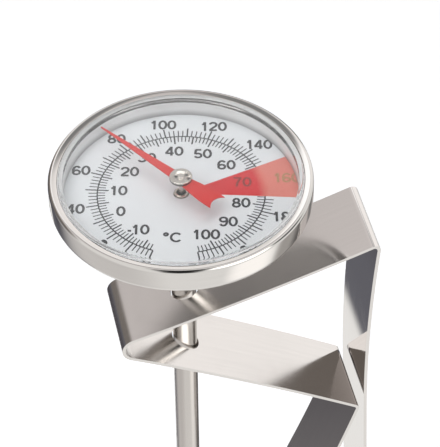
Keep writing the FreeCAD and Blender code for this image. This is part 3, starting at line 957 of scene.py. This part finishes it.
hub_tube_r = 0.7 * mm
hub_boss_r, hub_boss_foot = 0.55 * mm, 0.72 * mm
dish_r, dish = 1.25 * mm, hub_high.z - 0.16 * mm
hub_outline = rounded(
    [
        (0, hub_high.z),
        (0, blade_top),
        (shaft_r, blade_top),
        (shaft_r, hub_low.z),
        (hub_tube_r, hub_low.z, 0.08 * mm),
        (hub_tube_r, blade_top),
        (hub_r, blade_top, 0.05 * mm),
        (hub_r, hub_high.z - 0.1 * mm, 0.14 * mm),
        (dish_r, dish + 0.06 * mm, 0.3 * mm),
        (hub_boss_foot, dish - 0.1 * mm, 0.08 * mm),
        (hub_boss_r, hub_high.z, 0.16 * mm),
    ]
)
# three staking dents, by their angle on the upright dial and how far out they are
punch_tip_r, punch_r, punch_length, punch_middle = 0.1 * mm, 0.6 * mm, 0.5 * mm, dish - 0.14 * mm
dent_floor, dent_lip = dish - 0.26 * mm, dish - 0.12 * mm
dents = []
for turn, reach in ((172, 0.8 * mm), (27, 1.1 * mm), (-16, 1.42 * mm)):
    work = bmesh.new()
    bmesh.ops.create_cone(
        work, cap_ends=True, segments=24, radius1=punch_tip_r, radius2=punch_r, depth=punch_length
    )
    bmesh.ops.scale(work, vec=(0.75, 1, 1), verts=work.verts)
    turned = Matrix.Translation(stem_axis) @ Matrix.Rotation(math.radians(turn - dial_turn), 4, "Z")
    sunk = turned @ Matrix.Translation((reach, 0, punch_middle))
    bmesh.ops.transform(work, matrix=sunk, verts=work.verts)
    dents.append(made_mesh("dent", work))
hub_mesh = cut(lathe("pointer_cap", hub_outline, 128), *dents)
tidy_mesh(hub_mesh, 30)
hub_metal, tree, shader = new_material("hub_metal", Metallic=1.0)
place = object_place(tree)
# the dents are darkened towards their floors: painted shade
unshaded = ramp(tree, height_of(tree, place), dent_floor, dent_lip, 0.12, 1.0)
lined = placed(tree, turned_grain, Vector=place, Lines=6000, Base=(0.68, 0.64, 0.59, 1), Gloss=0.16)
feed(shader, Base_Color=scaled(tree, lined["Colour"], unshaded), Roughness=lined["Roughness"])
add_piece("pointer_cap", hub_mesh, "pointer", "hub_metal", hub_metal, "pointer_hub")

# ---- Movement -------------------------------------------------------------------------
# Inside the tube: a helix of two-metal strip on a post, a collar that joins its upper end
# to the thin shaft, and two bushes that keep the shaft on its axis.
bimetal = bright_metal("bimetal", rolled_grain, (0.55, 0.47, 0.38), (600, 600, 2000), 0.35)
shaft_steel = bright_metal("shaft_steel", rolled_grain, (0.62, 0.60, 0.58), (3000, 3000, 60), 0.2)
finish_node("bimetal_coil", bimetal)
finish_node("pointer_shaft", shaft_steel)
for node in ("coil_anchor", "coil_collar", "shaft_guide_lower", "shaft_guide_upper"):
    finish_node(node, brass_gold)

# ---- Studio ---------------------------------------------------------------------------
# Pale floor just under the probe's nose, soft lamps and a white surround. The camera looks
# down on the dial from in front.
view_elevation, view_roll = 44.85, -0.44
view_distance = 340.5 * mm
aim_right, aim_up = 6.56 * mm, -5.21 * mm
lens_length = 161.07       # millimetres, for a sensor 36 wide
aim_height = 0.4 * mm      # over the dial's face
floor_radius, floor_gap = 0.9, 0.2 * mm

facing_dial = upright.to_3x3()
tilt = math.radians(view_elevation)
forward = facing_dial @ Vector((0, math.cos(tilt), -math.sin(tilt)))
right = facing_dial @ Vector((1, 0, 0))
up = right.cross(forward)
view_centre = dial_middle + Vector((0, 0, aim_height))
camera = bpy.data.objects.new("camera", bpy.data.cameras.new("camera"))
bpy.context.scene.collection.objects.link(camera)
camera.data.sensor_width = 36
camera.data.lens = lens_length
camera.data.clip_start, camera.data.clip_end = 0.01, 10
roll = math.radians(view_roll)
turned_right = right * math.cos(roll) + up * math.sin(roll)
turned_up = up * math.cos(roll) - right * math.sin(roll)
axes = Matrix((turned_right, turned_up, -forward)).transposed()
eye = view_centre - forward * view_distance + right * aim_right + up * aim_up
camera.matrix_world = Matrix.Translation(eye) @ axes.to_4x4()
bpy.context.scene.camera = camera

work = bmesh.new()
bmesh.ops.create_circle(work, cap_ends=True, segments=96, radius=floor_radius)
floor = bpy.data.objects.new("floor", made_mesh("floor", work))
floor.location = stem_axis + Vector((0, 0, nose_low.z - floor_gap))
bpy.context.scene.collection.objects.link(floor)
floor.visible_glossy = False


def looked_at(seen):
    """1 for what the camera sees straight or through glass, and 0 for the rest."""
    return reckon(seen.id_data, "MAXIMUM", seen.outputs["Is Camera Ray"], seen.outputs["Is Transmission Ray"])


pale_floor, tree, shader = new_material("pale_floor", Roughness=0.9)
mottle = noise(tree, object_place(tree), 3.0, 2.0)
feed(shader, Base_Color=blended(tree, mottle, (0.86, 0.86, 0.86, 1), (0.9, 0.9, 0.9, 1)))
lift = reckon(tree, "MULTIPLY", looked_at(put(tree, "ShaderNodeLightPath")), 0.5)
glow = put(tree, "ShaderNodeEmission", {"Color": (1, 1, 1, 1), "Strength": lift}).outputs[0]
lit = put(tree, "ShaderNodeAddShader", {0: shader.outputs[0], 1: glow}).outputs[0]
feed(tree.nodes["Material Output"], Surface=lit)
floor.data.materials.append(pale_floor)

world = bpy.data.worlds.new("studio")
bpy.context.scene.world = world
world.use_nodes = True
tree = world.node_tree
tree.nodes.clear()
direction = put(tree, "ShaderNodeTexCoord").outputs["Generated"]
seen = put(tree, "ShaderNodeLightPath")


def panel(under, middle, inner, outer, tone):
    """Lays a soft round panel over the tones that metal shows, with its radii in degrees."""
    towards = facing_dial @ Vector(middle).normalized()
    facing = put(tree, "ShaderNodeVectorMath", {0: direction, 1: towards}, operation="DOT_PRODUCT")
    ends = [math.cos(math.radians(radius)) for radius in (outer, inner)]
    near = ramp(tree, facing.outputs["Value"], *ends, interpolation_type="SMOOTHSTEP")
    return blended(tree, near, under, (*tone, 1))


# what shows in bright metal: places are right of, behind and over the head as the camera sees it
tones = (0.9, 0.89, 0.87, 1)
for middle, inner, outer, tone in (
    ((-0.25, 0.62, 0.74), 26, 42, (0.72, 0.68, 0.67)),
    ((0.28, 0.9, 0.36), 14, 34, (1.1, 1.07, 1.05)),
    ((-0.83, 0.52, 0.15), 24, 42, (0.2, 0.18, 0.165)),
    ((-0.766, 0.402, -0.501), 29.4, 31, (0.135, 0.135, 0.155)),
    ((-0.677, 0.565, -0.472), 12, 20, (0.07, 0.065, 0.075)),
    ((-0.75, -0.25, -0.6), 12, 48, (0.7, 0.68, 0.665)),
    ((0.63, -0.31, -0.7), 6, 20, (1.3, 1.27, 1.23)),
    ((0.66, -0.56, 0.485), 17, 28, (2.9, 2.88, 2.8)),
    ((0.66, 0.24, -0.71), 8, 17, (0.42, 0.4, 0.38)),
    ((0.5, 0.72, -0.48), 8, 16, (0.25, 0.24, 0.23)),
    ((0.3, 0.65, -0.7), 22, 33, (0.14, 0.13, 0.125)),
    ((0.1, 0.98, 0.0), 20, 27, (0.16, 0.15, 0.15)),
    ((0.38, 0.79, -0.48), 5, 12, (1.0, 1.0, 1.0)),
    ((0, -0.98, 0.2), 11, 19, (0.03, 0.03, 0.03)),
    ((0, -0.74, 0.67), 13, 21, (0.02, 0.02, 0.02)),
    ((0, -0.34, 0.94), 11, 19, (0.03, 0.03, 0.03)),
    ((0.905, 0.04, 0.42), 10, 22, (0.06, 0.06, 0.06)),
    ((-0.13, 0.74, 0.66), 3, 9, (1.4, 1.4, 1.4)),
    ((0.08, 0.62, 0.78), 3, 8.5, (0.25, 0.25, 0.25)),
    ((-0.15, 0.56, 0.815), 5, 9, (0.26, 0.26, 0.26)),
):
    tones = panel(tones, middle, inner, outer, tone)
room = put(tree, "ShaderNodeBackground", {"Color": (0.9, 0.93, 1.0, 1), "Strength": 0.25}).outputs[0]
shown = put(tree, "ShaderNodeBackground", {"Color": tones, "Strength": 1.0}).outputs[0]
white = put(tree, "ShaderNodeBackground", {"Color": (1, 1, 1, 1), "Strength": 1.0}).outputs[0]
in_metal = put(tree, "ShaderNodeMixShader", {0: seen.outputs["Is Glossy Ray"], 1: room, 2: shown}).outputs[0]
surround = put(tree, "ShaderNodeMixShader", {0: looked_at(seen), 1: in_metal, 2: white}).outputs[0]
feed(put(tree, "ShaderNodeOutputWorld"), Surface=surround)


def softbox(name, place, size, power):
    """A square soft lamp that faces the dial, placed as the panels are."""
    lamp = bpy.data.objects.new(name, bpy.data.lights.new(name, "AREA"))
    lamp.data.size = size
    lamp.data.energy = power
    lamp.location = view_centre + facing_dial @ Vector(place)
    lamp.rotation_mode = "QUATERNION"
    lamp.rotation_quaternion = (view_centre - lamp.location).to_track_quat("-Z", "Y")
    lamp.visible_glossy = False
    bpy.context.scene.collection.objects.link(lamp)


softbox("key_lamp", (-0.35, -0.25, 0.6), 0.5, 2.3)
softbox("fill_lamp", (0.5, -0.35, 0.35), 0.4, 0.8)
softbox("top_lamp", (0.0, 0.15, 0.8), 0.5, 1.55)

bpy.context.scene.view_settings.view_transform = "Standard"
